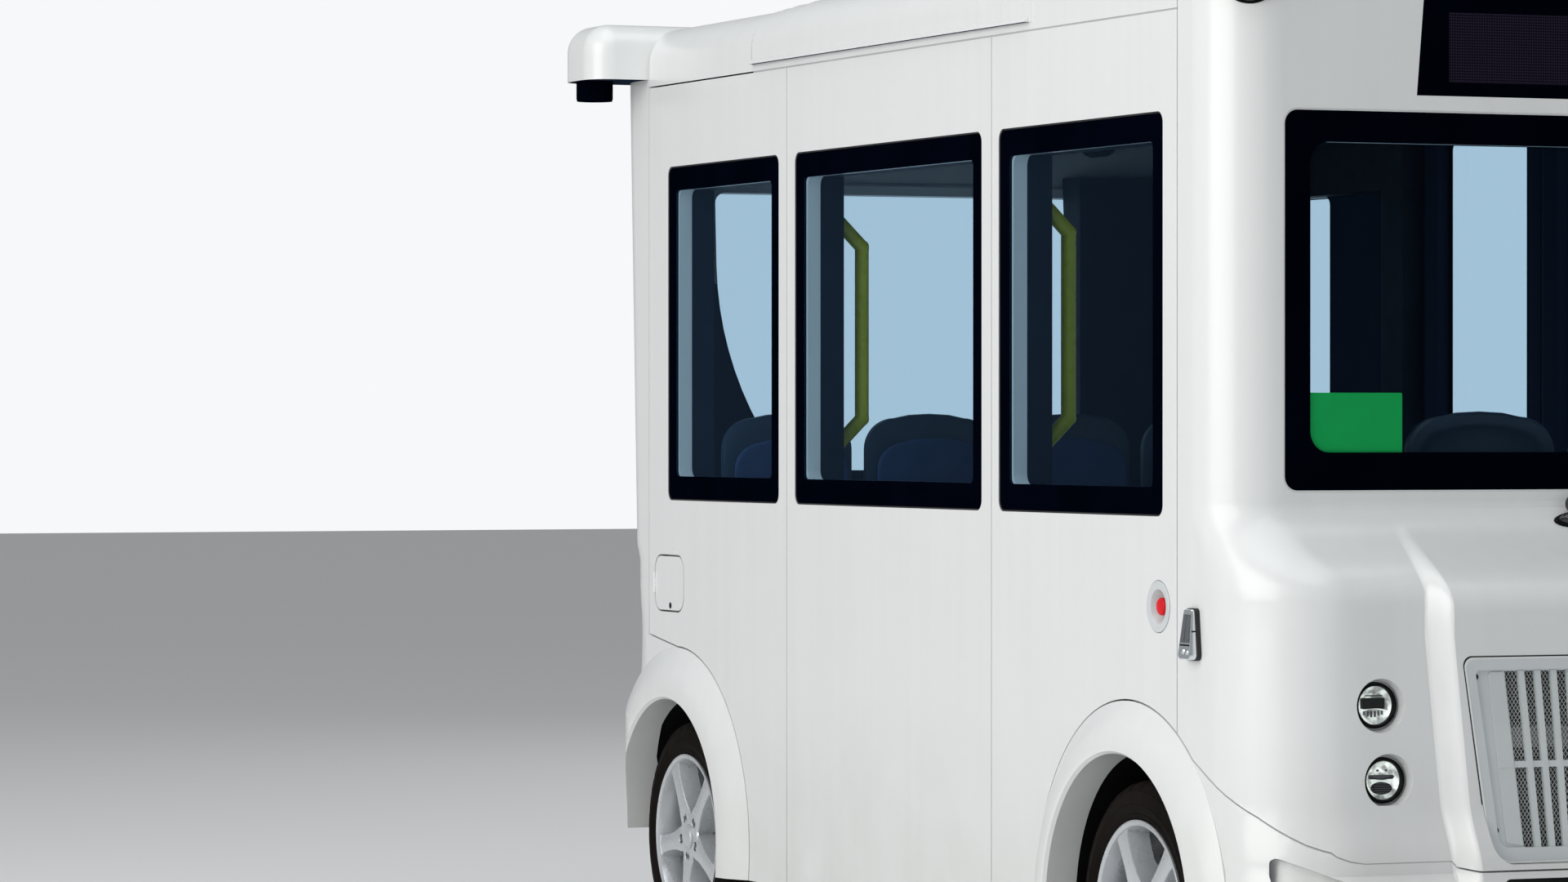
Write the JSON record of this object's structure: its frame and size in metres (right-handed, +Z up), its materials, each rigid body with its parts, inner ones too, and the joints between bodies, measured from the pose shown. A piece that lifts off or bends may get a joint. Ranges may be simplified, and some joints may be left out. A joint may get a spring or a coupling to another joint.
{
  "type": "airport passenger shuttle bus",
  "caption": "Small driverless electric bus for airport aprons: boxy body with side windows, double-leaf door on the left, steered front wheels, roof sensor pods.",
  "frame": {"origin": "on the ground, under the middle of the bus's length and width", "axes": "+X forward, +Y to the bus's left, +Z up"},
  "size_m": [4.0399, 2.23, 2.604],
  "materials": {
    "body_white": "gloss white paint",
    "black_frame": "satin black paint",
    "grey_metal": "satin dark grey",
    "aluminium_parts": "cast and machined",
    "rim_silver": "silver lacquer with machined spoke sides",
    "tyre_rubber": "matt, slightly brown",
    "glass_clear": "tinted laminated glass",
    "black_plastic": "gloss",
    "dark_lining": "grained",
    "floor_cover": "matt floor covering",
    "seat_shell": "grained",
    "seat_fabric": "woven blue",
    "handle_yellow": "gloss powder coat",
    "grille_grey": "satin light grey",
    "lamp_clear": "bright reflector behind a clear lens",
    "lamp_red": "red lens",
    "stop_red": "red button in a white dish",
    "battery_case": "satin dark grey"
  },
  "bodies": {
    "shuttle": {"chassis_frame": "black_frame", "battery_block": "battery_case", "floor_pan": "floor_cover", "wheel_houses": "dark_lining", "cabin_frame": "dark_lining", "panel_right_front": "body_white", "panel_right_middle": "body_white", "panel_right_rear": "body_white", "panel_left_front": "body_white", "panel_left_rear": "body_white", "door_surround": "body_white", "front_mask": "body_white", "front_bumper": "body_white", "rear_mask": "body_white", "rear_bumper": "body_white", "roof": "body_white", "roof_cover": "body_white", "roof_unit": "body_white", "sensor_pods": "body_white", "laser_scanners": "black_plastic", "windscreen": "glass_clear", "side_windows": "glass_clear", "sign_panels": "black_plastic", "grille": "grille_grey", "headlamps": "lamp_clear", "tail_lamps": "lamp_red", "side_markers": "lamp_clear", "stop_buttons": "stop_red", "charge_socket": "dark_lining", "seat_shells": "seat_shell", "seat_pads": "seat_fabric", "grab_handles": "handle_yellow", "front_axle": "grey_metal", "rear_axle": "grey_metal"},
    "steering_right": {"knuckle_right": "grey_metal"},
    "steering_left": {"knuckle_left": "grey_metal"},
    "wheel_front_right": {"tyre_front_right": "tyre_rubber", "rim_front_right": "rim_silver"},
    "wheel_front_left": {"tyre_front_left": "tyre_rubber", "rim_front_left": "rim_silver"},
    "wheel_rear_right": {"tyre_rear_right": "tyre_rubber", "rim_rear_right": "rim_silver"},
    "wheel_rear_left": {"tyre_rear_left": "tyre_rubber", "rim_rear_left": "rim_silver"},
    "door_front": {"door_leaf_front": "body_white", "door_glass_front": "glass_clear"},
    "door_rear": {"door_leaf_rear": "body_white", "door_glass_rear": "glass_clear"},
    "flap": {"charge_flap": "body_white"},
    "wiper": {"wiper_arm": "black_frame"}
  },
  "joints": [
    {"name": "steer_right", "type": "hinge", "parent": "shuttle", "child": "steering_right", "pos_m": [1.2425, -0.78, 0.31], "axis": [0, 0, 1], "range_deg": [-30, 30]},
    {"name": "steer_left", "type": "hinge", "parent": "shuttle", "child": "steering_left", "pos_m": [1.2425, 0.78, 0.31], "axis": [0, 0, 1], "range_deg": [-30, 30]},
    {"name": "spin_front_right", "type": "hinge", "parent": "steering_right", "child": "wheel_front_right", "pos_m": [1.2425, -0.83, 0.31], "axis": [0, 1, 0], "continuous": true},
    {"name": "spin_front_left", "type": "hinge", "parent": "steering_left", "child": "wheel_front_left", "pos_m": [1.2425, 0.83, 0.31], "axis": [0, 1, 0], "continuous": true},
    {"name": "spin_rear_right", "type": "hinge", "parent": "shuttle", "child": "wheel_rear_right", "pos_m": [-1.5275, -0.83, 0.31], "axis": [0, 1, 0], "continuous": true},
    {"name": "spin_rear_left", "type": "hinge", "parent": "shuttle", "child": "wheel_rear_left", "pos_m": [-1.5275, 0.83, 0.31], "axis": [0, 1, 0], "continuous": true},
    {"name": "door_front_hinge", "type": "hinge", "parent": "shuttle", "child": "door_front", "pos_m": [0.4995, 0.965, 1.28], "axis": [0, 0, -1], "range_deg": [0, 92]},
    {"name": "door_rear_hinge", "type": "hinge", "parent": "shuttle", "child": "door_rear", "pos_m": [-0.7595, 0.965, 1.28], "axis": [0, 0, 1], "range_deg": [0, 92]},
    {"name": "flap_hinge", "type": "hinge", "parent": "shuttle", "child": "flap", "pos_m": [-1.6965, -0.9515, 0.9915], "axis": [0, 0, -1], "range_deg": [0, 95]},
    {"name": "wiper_sweep", "type": "hinge", "parent": "shuttle", "child": "wiper", "pos_m": [1.7155, -0.085, 1.244], "axis": [1, 0, 0], "range_deg": [0, 82]}
  ],
  "couplings": [
    {"joint": "steer_left", "follows": "steer_right", "ratio": 1}
  ]
}
